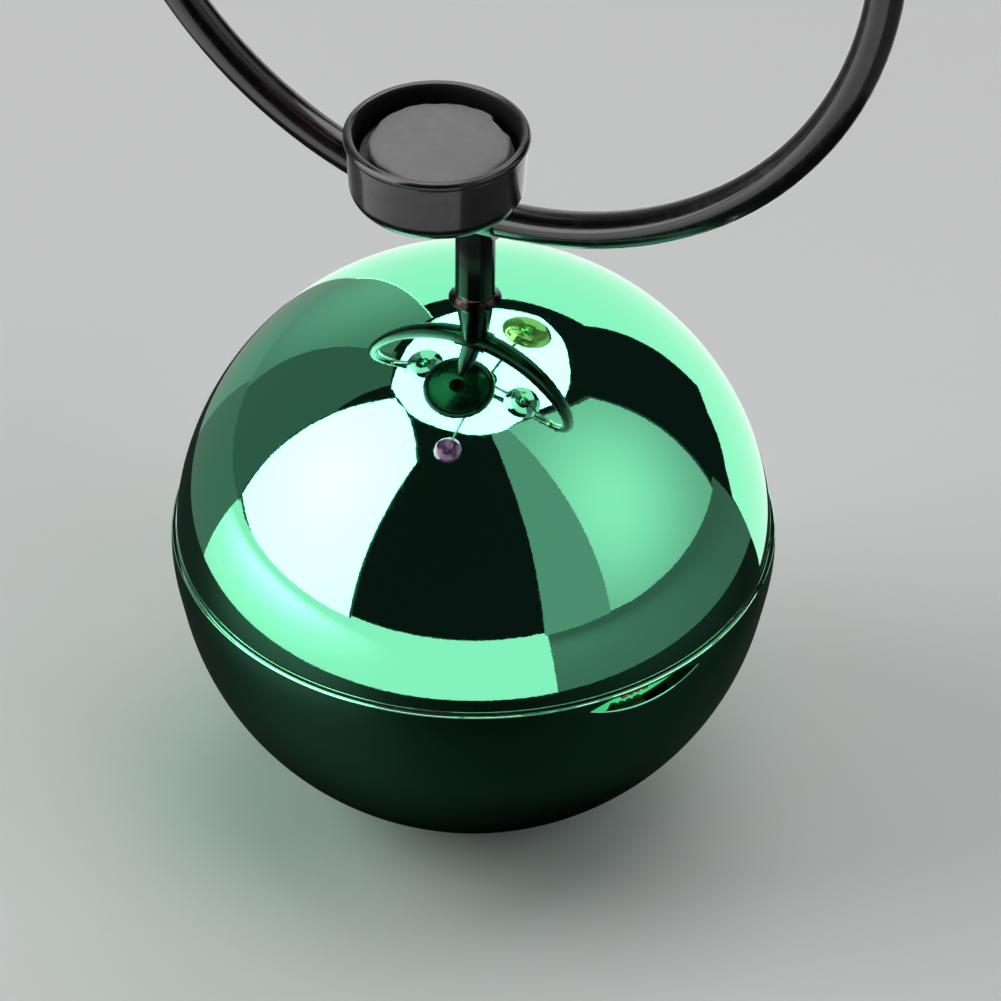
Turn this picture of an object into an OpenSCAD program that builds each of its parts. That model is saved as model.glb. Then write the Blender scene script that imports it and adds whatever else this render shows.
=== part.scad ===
// Kinetic rocker desk toy: a weighted chrome ball that holds the batteries and the drive board,
// a stem with a standing ring, a coil cup in front of it, and a rocker with coloured balls.
// +X runs along the ring's plane, -Y is the front, +Z is up. The origin is the middle of the foot.

/* [Ball] */
// Outer diameter of the ball
ball_d = 80; // [76:1:84]
// Wall thickness of the two half shells
shell_wall = 2; // [1.6:0.1:2.4]
// Height of the ball's middle above the table
ball_rise = 40.8; // [40.4:0.1:42]
// Height of the seam above the ball's middle
seam_up = 2.8; // [1.6:0.1:3]
// How far the lower shell's rim stands out past the ball
lip_out = 0.5; // [0.3:0.1:0.8]

/* [Stem and ring] */
// Outer diameter of the stem
stem_d = 5.2; // [4.8:0.1:6]
// Bore of the stem, for the coil lead
stem_bore_d = 3.4; // [2.6:0.1:3.8]
// Diameter of the ring, measured along the middle of its tube
ring_d = 108.3; // [100:0.5:116]
// Diameter of the ring's tube
ring_tube_d = 4.85; // [4.4:0.05:5.4]
// Height of the ring's middle above the ball's middle
ring_up = 107.4; // [105:0.2:112]

/* [Coil cup] */
// Outer diameter of the cup at its rolled rim
cup_d = 23.4; // [22.8:0.2:24]
// Height of the cup
cup_h = 9.7; // [9.3:0.1:10.3]
// Distance of the cup's middle in front of the stem
cup_front = 12.5; // [12.5:0.1:14]
// Distance of the cup's middle to the right of the stem
cup_right = 0.9; // [0:0.1:2]
// Height of the cup's rim above the ball's middle
cup_up = 73.6; // [73:0.1:76]
// Diameter of the grey cover disc
disc_d = 17.8; // [16:0.2:18.4]
// How far the cover disc sits to the right of the cup's middle
disc_right = 0.4; // [0:0.1:0.6]

/* [Rocker] */
// Diameter of the rocker's axle
axle_d = 2; // [1.8:0.1:2.2]
// Distance from the axle to the middle of the pink ball in front
front_len = 69.5; // [60:0.5:72]
// Distance from the axle to the middle of the gold ball behind
back_len = 41.5; // [38:0.5:50]
// Diameter of the pink ball
pink_d = 23; // [20:0.5:25]
// Diameter of the gold ball
gold_d = 22; // [20:0.5:24]
// Diameter of the two silver balls on the axle
axle_ball_d = 21; // [16:0.5:22]
// Distance of the silver balls from the middle of the axle
axle_ball_at = 30; // [28:0.5:36]
// Tilt of the arms, with the front arm up
arm_tilt = 27; // [24:0.5:28]
// Distance of the hub to the right of the ring's middle
hub_right = 6.5; // [0:0.5:8]

/* [Switch] */
// Direction of the thumb notch and the switch, turned from +X
notch_turn = -29; // [-40:1:-20]
// Length of the switch's travel
switch_travel = 2.8; // [2:0.1:3]

/* [Hidden] */

$fn = 96;
gap = 0.3;

ball_r = ball_d / 2;
inner_r = ball_r - shell_wall;
lip_r = ball_r + lip_out;

// Opening for the battery cap in the bottom of the ball
cap_r = 16;
cut_z = -sqrt(ball_r * ball_r - (cap_r + 0.15) * (cap_r + 0.15));
neck_r = 14;
neck_top = cut_z + 3;
lug_r = 15.2;
lug_root = 11.8;
lug_h = 0.9;
lug_wide = 24;
lug_turn = 30;
cap_plate = 1.5;
foot_r = 14.5;
cap_low = cut_z - gap - cap_plate;
cap_top = -31.2;

// Shell screws, in three pillars
pillar_at = 31;
pillar_r = 3.8;
pillar_turns = [-3, 117, 237];
screw_r = 1.25;
screw_head_r = 2.4;
screw_head_h = 1.8;
screw_seat_z = -10;
screw_len = 22;

// Battery tube with three AAA cells
cell_r = 5.2;
cell_at = 6.1;
cell_len = 43.5;
cell_z = -30.4;
nub_h = 1;
tube_r = 13.8;
tube_bore_r = 12.6;
board_z = 17.5;
board_t = 1.6;
board_r = 24;
ear_at = 16.2;
ear_r = 3;

// Thumb notch: an eye-shaped pocket under the seam, cut off at its top
notch_half = 8.5;
notch_mid = seam_up - 1.4;
notch_reach = 1.6;
notch_arc = (notch_half * notch_half + notch_reach * notch_reach) / (2 * notch_reach);
notch_floor = 38.4;
notch_back_low = seam_up - 7;
notch_back_half = 12;
switch_slot_l = 8;
switch_slot_h = 1.5;
switch_z = seam_up - 1.3;
knob_l = 4.1;
knob_h = 1.1;
knob_reach = 7.6;
knob_rest = -switch_travel / 2;

ring_r = ring_d / 2;
tube_half = ring_tube_d / 2;
ring_low = ring_up - ring_r;
sleeve_half = tube_half + 0.5;
sleeve_w = 7;
stem_r = stem_d / 2;
stem_foot = 29;
nut_z = 33.2;

cup_r = cup_d / 2 - 0.4;
cup_wall = 1;
cup_floor = 1;
cup_low = cup_up - cup_h;
flange_r = 6;
flange_t = 1.6;
strut_end = [cup_right * 0.4, -7.6, cup_low - flange_t / 2];
strut_r = 2.2;
lead_r = 0.8;
disc_down = 1.6;
disc_edge = 0.25;
bobbin_h = 5.4;
cup_round = 2.5;
bobbin_r = 9.6;
core_r = 2.4;

axle_r = axle_d / 2;
bush_r = 1.5;
bush_clear = 0.05;
bush_flange_r = 2.3;
bush_flange_t = 0.5;
bush_half = tube_half + 0.2;
axle_half = ring_r + bush_half + 1.6;
hub_r = 4.5;
hub_l = 9;
arm_r = 0.8;
arm_root = 1.8;
ball_wall = 1.5;
keel_neck_l = 3;
magnet_r = 4;
magnet_h = 3;
holder_r = 5;
holder_h = 4;

shell_green = [0.10, 0.62, 0.38];
gloss_black = [0.06, 0.06, 0.07];
steel = [0.72, 0.73, 0.75];
brass = [0.80, 0.66, 0.36];

// Moves children to the ball's middle, to a place around it, and to the axle's middle
module at_ball() { translate([0, 0, ball_rise]) children(); }
module around(turns) { for (t = turns) rotate([0, 0, t]) children(); }
module at_axle() { at_ball() translate([0, 0, ring_up]) children(); }
module at_hub() { at_axle() translate([hub_right, 0, 0]) children(); }
module at_cup() { at_ball() translate([cup_right, -cup_front, cup_low]) children(); }
module tube(r_out, r_in, h) { difference() {
    cylinder(r = r_out, h = h);
    translate([0, 0, -1]) cylinder(r = r_in, h = h + 2);
} }
// Part of the space between two heights
module slab(z0, z1) { translate([-60, -60, z0]) cube([120, 120, z1 - z0]); }
// Straight round bar between two points
module bar(a, b, r) {
    d = b - a;
    translate(a) rotate([0, acos(d[2] / norm(d)), atan2(d[1], d[0])]) cylinder(r = r, h = norm(d));
}
// Torus standing in the XZ plane
module hoop(r, tube_r) {
    rotate([90, 0, 0]) rotate_extrude($fn = 180) translate([r, 0]) circle(r = tube_r, $fn = 48);
}
// Quarter-round points about a centre, for rounded edges
function arc(cx, cy, r, a0, a1, n = 8) =
    [for (i = [0:n]) [cx + r * cos(a0 + (a1 - a0) * i / n), cy + r * sin(a0 + (a1 - a0) * i / n)]];

// ---- Ball ----
module notch_space() {
    intersection() {
        rotate([0, 0, notch_turn]) intersection_for (s = [-1, 1])
            translate([notch_floor, 0, notch_mid + s * (notch_arc - notch_reach)])
                rotate([0, 90, 0]) cylinder(r = notch_arc, h = 6, $fn = 200);
        slab(-20, seam_up - 0.35);
    }
}
module switch_slot() {
    rotate([0, 0, notch_turn]) translate([30, -switch_slot_l / 2, switch_z - switch_slot_h / 2])
        cube([12, switch_slot_l, switch_slot_h]);
}
module lower_shell() {
    color(shell_green) at_ball() difference() {
        union() {
            difference() {
                union() {
                    intersection() { sphere(r = ball_r, $fn = 160); slab(cut_z, seam_up); }
                    rotate_extrude($fn = 160) polygon(concat([[inner_r, seam_up - 5.5],
                        [ball_r - 0.15, seam_up - 5.5], [lip_r, seam_up - 1.8]],
                        arc(lip_r - 0.15, seam_up - 0.15, 0.15, 0, 90, 4), [[inner_r, seam_up]]));
                }
                sphere(r = inner_r, $fn = 160);
            }
            // Thicker wall behind the thumb notch, which guides the switch
            intersection() {
                sphere(r = inner_r + 0.5);
                rotate([0, 0, notch_turn]) translate([34.2, -notch_back_half, notch_back_low])
                    cube([6, 2 * notch_back_half, seam_up - notch_back_low]);
            }
            // Neck that the battery cap locks into
            translate([0, 0, cut_z]) cylinder(r = cap_r + 1.4, h = neck_top - cut_z);
            // Rib that carries the ballast ring
            intersection() {
                sphere(r = inner_r + 0.5);
                translate([0, 0, -34]) tube(22, 20, 7);
            }
            // Screw pillars
            intersection() {
                sphere(r = inner_r + 0.5);
                around(pillar_turns) translate([pillar_at, 0, -24])
                    cylinder(r = pillar_r, h = 24 + seam_up);
            }
        }
        translate([0, 0, cut_z - 1]) cylinder(r = neck_r, h = 6);
        around([0, 120, 240]) rotate([0, 0, lug_turn - lug_wide / 2]) translate([0, 0, cut_z - 1])
            rotate_extrude(angle = lug_wide) translate([lug_root, 0]) square([lug_r + gap - lug_root, 6]);
        around(pillar_turns) translate([pillar_at, 0, 0]) {
            translate([0, 0, -30]) cylinder(r = screw_head_r + 0.3, h = 30 + screw_seat_z);
            translate([0, 0, -12]) cylinder(r = screw_r + 0.2, h = 20);
        }
        notch_space();
        switch_slot();
    }
}
module upper_shell() {
    low = seam_up + gap;
    color(shell_green) at_ball() difference() {
        union() {
            difference() {
                intersection() { sphere(r = ball_r, $fn = 160); slab(low, ball_r + 1); }
                sphere(r = inner_r, $fn = 160);
            }
            // Tongue that centres the two halves, with room for the notch's backing
            difference() {
                translate([0, 0, seam_up - 2.4]) tube(inner_r - gap, inner_r - 1.5, 3.4);
                rotate([0, 0, notch_turn]) translate([30, -notch_back_half - gap, seam_up - 3])
                    cube([10, 2 * (notch_back_half + gap), 3 + gap]);
            }
            translate([0, 0, low]) tube(inner_r + 0.5, inner_r - 1.5, 2.4);
            // Flat seat for the stem's nut
            intersection() {
                sphere(r = inner_r + 0.5);
                translate([0, 0, nut_z + 3.4]) cylinder(r = 8, h = 4);
            }
            // Screw bosses
            intersection() {
                sphere(r = inner_r + 0.5);
                around(pillar_turns) translate([pillar_at, 0, low]) cylinder(r = pillar_r, h = 30);
            }
        }
        around(pillar_turns) translate([pillar_at, 0, 0])
            cylinder(r = screw_r, h = screw_seat_z + screw_len + 0.5);
        cylinder(r = stem_r, h = ball_r + 2);
    }
}
module seam_gasket() {
    color(gloss_black) at_ball() translate([0, 0, seam_up]) tube(ball_r - 0.25, inner_r, gap);
}
module shell_screws() {
    color(steel) at_ball() around(pillar_turns) translate([pillar_at, 0, screw_seat_z]) difference() {
        union() {
            translate([0, 0, -screw_head_h]) cylinder(r = screw_head_r, h = screw_head_h);
            cylinder(r = screw_r, h = screw_len);
        }
        translate([0, 0, -screw_head_h - 1]) cylinder(r = 1, h = 2, $fn = 6);
    }
}
module ballast_ring() {
    color([0.30, 0.31, 0.33]) at_ball() difference() {
        intersection() {
            sphere(r = inner_r - 0.4);
            translate([0, 0, -27]) cylinder(r = pillar_at - pillar_r - 0.5, h = 17);
        }
        translate([0, 0, -30]) cylinder(r = tube_r + 0.4, h = 24);
    }
}

// ---- Power and drive ----
module battery_tube() {
    low = neck_top;
    color(gloss_black) at_ball() difference() {
        union() {
            translate([0, 0, low]) cylinder(r = tube_r, h = board_z - low);
            for (s = [-1, 1]) translate([s * ear_at, 0, 9]) cylinder(r = ear_r, h = board_z - 9);
            translate([0, 0, low]) cylinder(r = cap_r + 1.2, h = 2.6);
        }
        translate([0, 0, low - 1]) cylinder(r = tube_bore_r, h = board_z - low + 2);
        for (s = [-1, 1]) translate([s * ear_at, 0, 10]) cylinder(r = 0.9, h = 10);
        // Tracks that the cap's lugs turn in
        around([0, 120, 240]) rotate([0, 0, -30]) translate([0, 0, low - 1])
            rotate_extrude(angle = 90) translate([lug_root, 0])
                square([lug_r + gap - lug_root, lug_h + 2 * gap + 1]);
    }
}
module battery_cells() {
    color([0.55, 0.16, 0.14]) at_ball() around([0, 120, 240]) translate([cell_at, 0, cell_z]) {
        cylinder(r = cell_r, h = cell_len);
        cylinder(r = 1.9, h = cell_len + nub_h);
    }
}
module contact_springs() {
    top = board_z - cell_z - cell_len - nub_h;
    color(steel) at_ball() around([0, 120, 240]) translate([cell_at, 0, cell_z + cell_len + nub_h])
        linear_extrude(height = top, twist = -1080, slices = 54, $fn = 8)
            translate([1.8, 0]) circle(r = 0.35);
}
module circuit_board() {
    color([0.05, 0.35, 0.20]) at_ball() translate([0, 0, board_z]) difference() {
        cylinder(r = board_r, h = board_t);
        for (s = [-1, 1]) translate([s * ear_at, 0, -1]) cylinder(r = 1.1, h = 4);
    }
}
module board_screws() {
    color(steel) at_ball() for (s = [-1, 1]) translate([s * ear_at, 0, board_z + board_t]) {
        cylinder(r = 1.9, h = 1.3);
        translate([0, 0, -board_t - 5]) cylinder(r = 0.9, h = board_t + 5);
    }
}
module on_board(x, y) { at_ball() translate([x, y, board_z + board_t]) children(); }
module driver_chip() {
    color([0.08, 0.08, 0.09]) on_board(-9, 7) {
        translate([0, 0, 0.8]) cube([5, 4, 1.5], center = true);
        for (s = [-1, 1], i = [0:3]) translate([-1.9 + i * 1.27, s * 2.5, 0.3])
            cube([0.4, 1.2, 0.6], center = true);
    }
}
module capacitor() {
    color([0.12, 0.16, 0.45]) on_board(8, 10) {
        cylinder(r = 2.5, h = 7);
        translate([0, 0, 7]) cylinder(r = 1.9, h = 0.25);
    }
}
module transistor() {
    color([0.10, 0.10, 0.11]) on_board(-7, -9) intersection() {
        cylinder(r = 2.4, h = 4.6);
        translate([-3, -1.2, 0]) cube([6, 4, 5]);
    }
}
module lead_connector() {
    color([0.88, 0.86, 0.78]) on_board(0, 0) difference() {
        translate([-3, -2, 0]) cube([6, 4, 5]);
        translate([0, 0, 2.5]) cylinder(r = lead_r, h = 4);
    }
}
module switch_housing() {
    color([0.14, 0.14, 0.15]) at_ball() rotate([0, 0, notch_turn]) difference() {
        translate([30.5, -6, switch_z - 2.4]) cube([3.7, 12, 4]);
        translate([31.6, -switch_slot_l / 2, switch_z - switch_slot_h / 2])
            cube([4, switch_slot_l, switch_slot_h]);
    }
}
module switch_slider() {
    color([0.62, 0.26, 0.24]) at_ball() rotate([0, 0, notch_turn])
        translate([31.8, knob_rest - knob_l / 2, switch_z - knob_h / 2]) difference() {
            cube([knob_reach, knob_l, knob_h]);
            // Grip grooves across the knob's face
            for (i = [1:3]) translate([knob_reach, i * knob_l / 4, -1]) cylinder(r = 0.25, h = 4, $fn = 24);
        }
}
module battery_cap() {
    color(gloss_black) at_ball() difference() {
        union() {
            translate([0, 0, cap_low]) cylinder(r = cap_r, h = cap_plate);
            translate([0, 0, cap_low]) cylinder(r = neck_r - gap, h = neck_top - cap_low);
            translate([0, 0, cap_low]) cylinder(r = tube_bore_r - gap, h = cap_top - cap_low);
            around([0, 120, 240]) rotate([0, 0, 1 - lug_wide / 2]) translate([0, 0, neck_top + gap])
                rotate_extrude(angle = lug_wide - 2) translate([lug_root, 0])
                    square([lug_r - lug_root, lug_h]);
        }
        translate([0, 0, cap_top - 2]) cylinder(r = 11.4, h = 3);
    }
}
module foot_pad() {
    color([0.09, 0.09, 0.10]) at_ball() rotate_extrude() polygon(concat([[0, -ball_rise]],
        arc(foot_r - 0.6, -ball_rise + 0.6, 0.6, -90, 0), [[foot_r, cap_low], [0, cap_low]]));
}
module cap_contact() {
    color(brass) at_ball() translate([0, 0, cap_top - 2]) {
        cylinder(r = 11.2, h = 0.5);
        around([0, 120, 240]) translate([cell_at, 0, 0])
            cylinder(r1 = 3, r2 = 1.4, h = cell_z - gap - cap_top + 2);
    }
}

// ---- Stem and ring ----
module stem() {
    color(gloss_black) at_ball() difference() {
        translate([0, 0, stem_foot]) cylinder(r = stem_r, h = ring_low - stem_foot);
        translate([0, 0, stem_foot - 1]) cylinder(r = stem_bore_d / 2, h = ring_low);
        translate([0, 0, ring_up]) hoop(ring_r, sleeve_half);
    }
}
module stem_collar() {
    low = sqrt(ball_r * ball_r - stem_r * stem_r);
    flare = [[0, 0], [0.85, 0], [0.85, 0.1], [0.45, 0.3], [0.2, 0.7], [0, 1.3]];
    color([0.16, 0.14, 0.12]) at_ball() translate([0, 0, low])
        rotate_extrude() translate([stem_r, 0]) polygon(flare);
}
module stem_washer() {
    color(steel) at_ball() translate([0, 0, nut_z + 2.6]) tube(5.5, stem_r, 0.8);
}
module stem_nut() {
    color(steel) at_ball() translate([0, 0, nut_z]) difference() {
        cylinder(r = 4.6, h = 2.6, $fn = 6);
        translate([0, 0, -1]) cylinder(r = stem_r, h = 5);
    }
}
module ring() {
    color(gloss_black) at_axle() difference() {
        hoop(ring_r, tube_half);
        for (s = [-1, 1]) translate([s * ring_r, 0, 0]) rotate([0, 90, 0])
            cylinder(r = bush_r, h = 4 * tube_half, center = true);
        translate([0, 0, -ring_up]) lead_space();
    }
}
// Way of the coil lead through the ring and up the arm
module lead_space() {
    translate([0, 0, ring_low - 6]) cylinder(r = lead_r + gap, h = 6 + gap);
    bar([0, 0, ring_low], strut_end + (strut_end - [0, 0, ring_low]) * 0.4, lead_r + gap);
}
module cup_arm() {
    color(gloss_black) difference() {
        union() {
            at_axle() intersection() {
                hoop(ring_r, sleeve_half);
                translate([-sleeve_w / 2, -4, -ring_r - 4]) cube([sleeve_w, 8, 8]);
            }
            at_ball() difference() {
                bar([0, 0, ring_low], strut_end, strut_r);
                translate([0, 0, cup_low]) slab(0, 5);
            }
            at_cup() translate([0, 0, -flange_t]) cylinder(r = flange_r, h = flange_t);
        }
        at_axle() hoop(ring_r, tube_half);
        at_ball() lead_space();
        at_cup() translate([0, 0, -4]) cylinder(r = 1, h = 8);
    }
}
// Hole for the lead, seen from the cup's middle
module lead_hole(h) {
    translate([strut_end[0] - cup_right, strut_end[1] - 1.2 + cup_front, -1])
        cylinder(r = lead_r + 0.5, h = h);
}
module cup() {
    rim_r = cup_d / 2;
    bore_r = cup_r - cup_wall;
    corner = arc(cup_r - cup_round, cup_round, cup_round, -90, 0);
    inside = [[cup_r, cup_h - 1], [bore_r, cup_h - 0.5], [bore_r, cup_floor], [0, cup_floor]];
    color(gloss_black) at_cup() difference() {
        union() {
            rotate_extrude() polygon(concat([[0, 0]], corner, inside));
            rotate_extrude() translate([rim_r - 0.7, cup_h - 0.7]) circle(r = 0.7, $fn = 32);
        }
        translate([0, 0, -1]) cylinder(r = 1, h = 4);
        lead_hole(3);
    }
}
module cup_screw() {
    color(steel) at_cup() difference() {
        union() {
            translate([0, 0, -flange_t - 1.3]) cylinder(r = 2, h = 1.3);
            translate([0, 0, -flange_t]) cylinder(r = 1, h = flange_t + cup_floor + 2);
        }
        translate([-0.3, -3, -flange_t - 1.8]) cube([0.6, 6, 1]);
    }
}
module coil_bobbin() {
    color([0.75, 0.72, 0.62]) at_cup() translate([0, 0, cup_floor]) difference() {
        union() {
            cylinder(r = 3.2, h = bobbin_h);
            for (z = [0, bobbin_h - 0.5]) translate([0, 0, z]) cylinder(r = bobbin_r, h = 0.5);
        }
        translate([0, 0, -1]) cylinder(r = core_r, h = 8);
        lead_hole(2);
    }
}
module drive_coil() {
    color([0.72, 0.38, 0.18]) at_cup() translate([0, 0, cup_floor + 0.5]) tube(8.4, 3.2, bobbin_h - 1);
}
module coil_core() {
    color(steel) at_cup() translate([0, 0, cup_floor]) difference() {
        cylinder(r = core_r, h = bobbin_h);
        translate([0, 0, -1]) cylinder(r = 1, h = 3);
    }
}
module cover_disc() {
    top = cup_h - disc_down;
    low = cup_floor + bobbin_h;
    edge = arc(disc_d / 2 - disc_edge, top - disc_edge, disc_edge, 0, 90);
    color([0.50, 0.50, 0.51]) at_cup() translate([disc_right, 0, 0])
        rotate_extrude() polygon(concat([[0, low], [disc_d / 2, low]], edge, [[0, top]]));
}
module coil_lead() {
    low = board_z + board_t + 2.5;
    rise = strut_end - [0, 0, ring_low];
    color([0.65, 0.12, 0.10]) at_ball() {
        translate([0, 0, low]) cylinder(r = lead_r, h = ring_low - low);
        bar([0, 0, ring_low] - rise * 0.02, strut_end + rise * 0.16, lead_r);
    }
}
// Both ends of the axle, at a distance from its middle, with +Z outward
module at_ends(d) { for (s = [-1, 1]) rotate([0, s * 90, 0]) translate([0, 0, d]) children(); }
module axle_bushes() {
    color(brass) at_axle() at_ends(ring_r) difference() {
        union() {
            cylinder(r = bush_r, h = 2 * bush_half, center = true);
            translate([0, 0, -bush_half - bush_flange_t]) cylinder(r = bush_flange_r, h = bush_flange_t);
        }
        cylinder(r = axle_r + bush_clear, h = 10, center = true);
    }
}

// ---- Rocker ----
module axle() {
    color(steel) at_axle() rotate([0, 90, 0]) cylinder(r = axle_r, h = 2 * axle_half, center = true);
}
module axle_caps() {
    from = bush_half + ring_r + 0.4;
    color(gloss_black) at_axle() at_ends(from) difference() {
        rotate_extrude() polygon(concat([[0, 0], [2, 0]], arc(1, 1.4, 1, 0, 90), [[0, 2.4]]));
        translate([0, 0, -1]) cylinder(r = axle_r, h = axle_half - from + 1);
    }
}
module rocker_hub() {
    color(gloss_black) at_hub() difference() {
        union() {
            rotate([0, 90, 0]) cylinder(r = hub_r, h = hub_l, center = true);
            translate([0, 0, -hub_r - keel_neck_l + 1]) cylinder(r = 1.6, h = keel_neck_l + 1);
        }
        rotate([0, 90, 0]) cylinder(r = axle_r, h = hub_l + 2, center = true);
        rotate([-arm_tilt, 0, 0]) for (s = [-1, 1]) rotate([s * 90, 0, 0])
            translate([0, 0, arm_root]) cylinder(r = arm_r, h = hub_r);
        translate([0, 0, axle_r]) cylinder(r = 0.9, h = hub_r);
    }
}
module hub_screw() {
    color(steel) at_hub() translate([0, 0, axle_r]) difference() {
        cylinder(r = 0.9, h = 2.6);
        translate([0, 0, 1.6]) cylinder(r = 0.45, h = 2, $fn = 6);
    }
}
// Turns +Z along the arm to the front (s = 1) or to the back (s = -1)
module along_arm(s) { at_hub() rotate([s * 90 - arm_tilt, 0, 0]) children(); }
module arm(s, l) {
    color(steel) along_arm(s) translate([0, 0, arm_root]) cylinder(r = arm_r, h = l - arm_root);
}
module front_arm() { arm(1, front_len); }
module back_arm() { arm(-1, back_len); }
// Hollow ball with a socket that the arm ends in
module arm_ball(s, l, r) {
    along_arm(s) translate([0, 0, l]) difference() {
        sphere(r = r, $fn = 120);
        difference() {
            sphere(r = r - ball_wall, $fn = 96);
            translate([0, 0, -r]) cylinder(r = 2.2, h = r + 2);
        }
        translate([0, 0, -r - 1]) cylinder(r = arm_r, h = r + 1);
    }
}
module pink_ball() { color([0.86, 0.42, 0.72]) arm_ball(1, front_len, pink_d / 2); }
module gold_ball() { color([0.86, 0.70, 0.22]) arm_ball(-1, back_len, gold_d / 2); }
module silver_balls() {
    color([0.80, 0.82, 0.84]) at_axle() for (s = [-1, 1]) translate([s * axle_ball_at, 0, 0]) difference() {
        sphere(r = axle_ball_d / 2, $fn = 120);
        difference() {
            sphere(r = axle_ball_d / 2 - ball_wall, $fn = 96);
            rotate([0, 90, 0]) cylinder(r = 2.4, h = axle_ball_d, center = true);
        }
        rotate([0, 90, 0]) cylinder(r = axle_r, h = axle_ball_d + 2, center = true);
    }
}
module magnet_holder() {
    top = -hub_r - keel_neck_l + 1;
    color(gloss_black) at_hub() translate([0, 0, top - holder_h]) difference() {
        cylinder(r = holder_r, h = holder_h);
        translate([0, 0, -1]) cylinder(r = magnet_r, h = magnet_h + 1);
    }
}
module rocker_magnet() {
    top = -hub_r - keel_neck_l + 1;
    color(steel) at_hub() translate([0, 0, top - holder_h]) cylinder(r = magnet_r, h = magnet_h);
}

lower_shell();
upper_shell();
seam_gasket();
shell_screws();
ballast_ring();
battery_tube();
battery_cells();
contact_springs();
circuit_board();
board_screws();
driver_chip();
capacitor();
transistor();
lead_connector();
switch_housing();
stem();
stem_collar();
stem_washer();
stem_nut();
ring();
cup_arm();
cup();
cup_screw();
coil_bobbin();
drive_coil();
coil_core();
cover_disc();
coil_lead();
axle_bushes();
switch_slider();
battery_cap();
foot_pad();
cap_contact();
axle();
axle_caps();
rocker_hub();
hub_screw();
front_arm();
back_arm();
pink_ball();
gold_ball();
silver_balls();
magnet_holder();
rocker_magnet();
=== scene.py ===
import math

import bmesh
import bpy
from mathutils import Matrix, Vector


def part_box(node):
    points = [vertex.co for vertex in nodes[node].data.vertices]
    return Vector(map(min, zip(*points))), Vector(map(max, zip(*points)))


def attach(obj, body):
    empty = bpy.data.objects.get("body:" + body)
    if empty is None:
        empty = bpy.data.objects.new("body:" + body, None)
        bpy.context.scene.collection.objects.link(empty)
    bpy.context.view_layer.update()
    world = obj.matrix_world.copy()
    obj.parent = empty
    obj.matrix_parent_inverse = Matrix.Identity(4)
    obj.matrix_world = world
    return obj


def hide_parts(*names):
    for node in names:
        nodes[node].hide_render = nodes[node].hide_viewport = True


# Kinetic desk toy: a mirror-plated ball on a foot, a stem with a ring and a coil cup, and a rocker
# with four balls on an axle in the ring. Profiles are in millimetres; everything placed is in metres.
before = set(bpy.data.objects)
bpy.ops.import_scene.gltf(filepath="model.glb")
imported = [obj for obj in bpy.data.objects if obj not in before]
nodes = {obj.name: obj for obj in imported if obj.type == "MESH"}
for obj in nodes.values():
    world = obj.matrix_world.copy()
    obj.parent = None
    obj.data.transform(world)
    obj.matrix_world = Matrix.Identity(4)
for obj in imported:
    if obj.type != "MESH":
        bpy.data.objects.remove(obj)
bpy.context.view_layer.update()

# ---- Units, and the ball's radius (in millimetres) and middle (in metres) ----
MM = 0.001
PER_M = 1000
R = 40.0
BALL = Vector((0, 0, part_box("upper_shell")[1].z - R * MM))


# ---- Node helpers ----
class Mat:
    """A node material, built in a few calls."""

    def __init__(self, name):
        self.m = bpy.data.materials.new(name)
        self.m.use_nodes = True
        self.t = self.m.node_tree
        self.b = self.t.nodes["Principled BSDF"]
        self.co = self.t.nodes.new("ShaderNodeTexCoord").outputs["Object"]

    def set(self, **k):
        """Constants on the shader's own sockets."""
        for key, v in k.items():
            self.b.inputs[key.replace("_", " ")].default_value = v
        return self

    def n(self, kind, **k):
        """New node, with its properties and input values by name."""
        node = self.t.nodes.new("ShaderNode" + kind)
        for key, v in k.items():
            if hasattr(node, key):
                setattr(node, key, v)
            else:
                node.inputs[key.replace("_", " ")].default_value = v
        return node

    def l(self, a, b):
        self.t.links.new(a, b)

    def noise(self, scale, detail=3.0, rough=0.5, stretch=None):
        """Noise in object space; stretch scales it along the three axes."""
        node = self.n("TexNoise", Scale=scale, Detail=detail, Roughness=rough)
        src = self.co
        if stretch:
            mp = self.n("Mapping")
            mp.inputs["Scale"].default_value = stretch
            self.l(src, mp.inputs["Vector"])
            src = mp.outputs["Vector"]
        self.l(src, node.inputs["Vector"])
        return node.outputs["Fac"]

    def ramp(self, fac, stops):
        """Colour ramp through (position, colour) stops."""
        r = self.n("ValToRGB")
        e = r.color_ramp.elements
        while len(e) < len(stops):
            e.new(0.5)
        for i, (p, c) in enumerate(stops):
            e[i].position = p
            e[i].color = c if len(c) == 4 else (*c, 1)
        self.l(fac, r.inputs["Fac"])
        return r.outputs["Color"]

    def color(self, out):
        self.l(out, self.b.inputs["Base Color"])
        return self

    def rough(self, fac, lo, hi, a=0.0, b=1.0):
        """Roughness from lo to hi where the factor goes from a to b."""
        mr = self.n("MapRange", From_Min=a, From_Max=b, To_Min=lo, To_Max=hi)
        self.l(fac, mr.inputs["Value"])
        self.l(mr.outputs["Result"], self.b.inputs["Roughness"])
        return self

    def bump(self, fac, strength, distance):
        """Bump on top of any bump that is already there."""
        node = self.n("Bump", Strength=strength, Distance=distance)
        self.l(fac, node.inputs["Height"])
        if self.b.inputs["Normal"].is_linked:
            self.l(self.b.inputs["Normal"].links[0].from_socket, node.inputs["Normal"])
        self.l(node.outputs["Normal"], self.b.inputs["Normal"])
        return self


def mirror(name, light, dark):
    """Vacuum-metallised plastic under a coloured lacquer: a clean mirror with a very slight
    unevenness, fine dust specks and a hair of softness."""
    m = Mat(name).set(Metallic=1.0)
    m.color(m.ramp(m.noise(18, 2), [(0.35, dark), (0.65, light)]))
    m.rough(m.noise(900, 2), 0.012, 0.045, 0.35, 0.75)
    m.bump(m.noise(55, 2), 0.06, 0.0004)
    m.bump(m.noise(2600, 1), 0.02, 0.00005)
    return m


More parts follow.
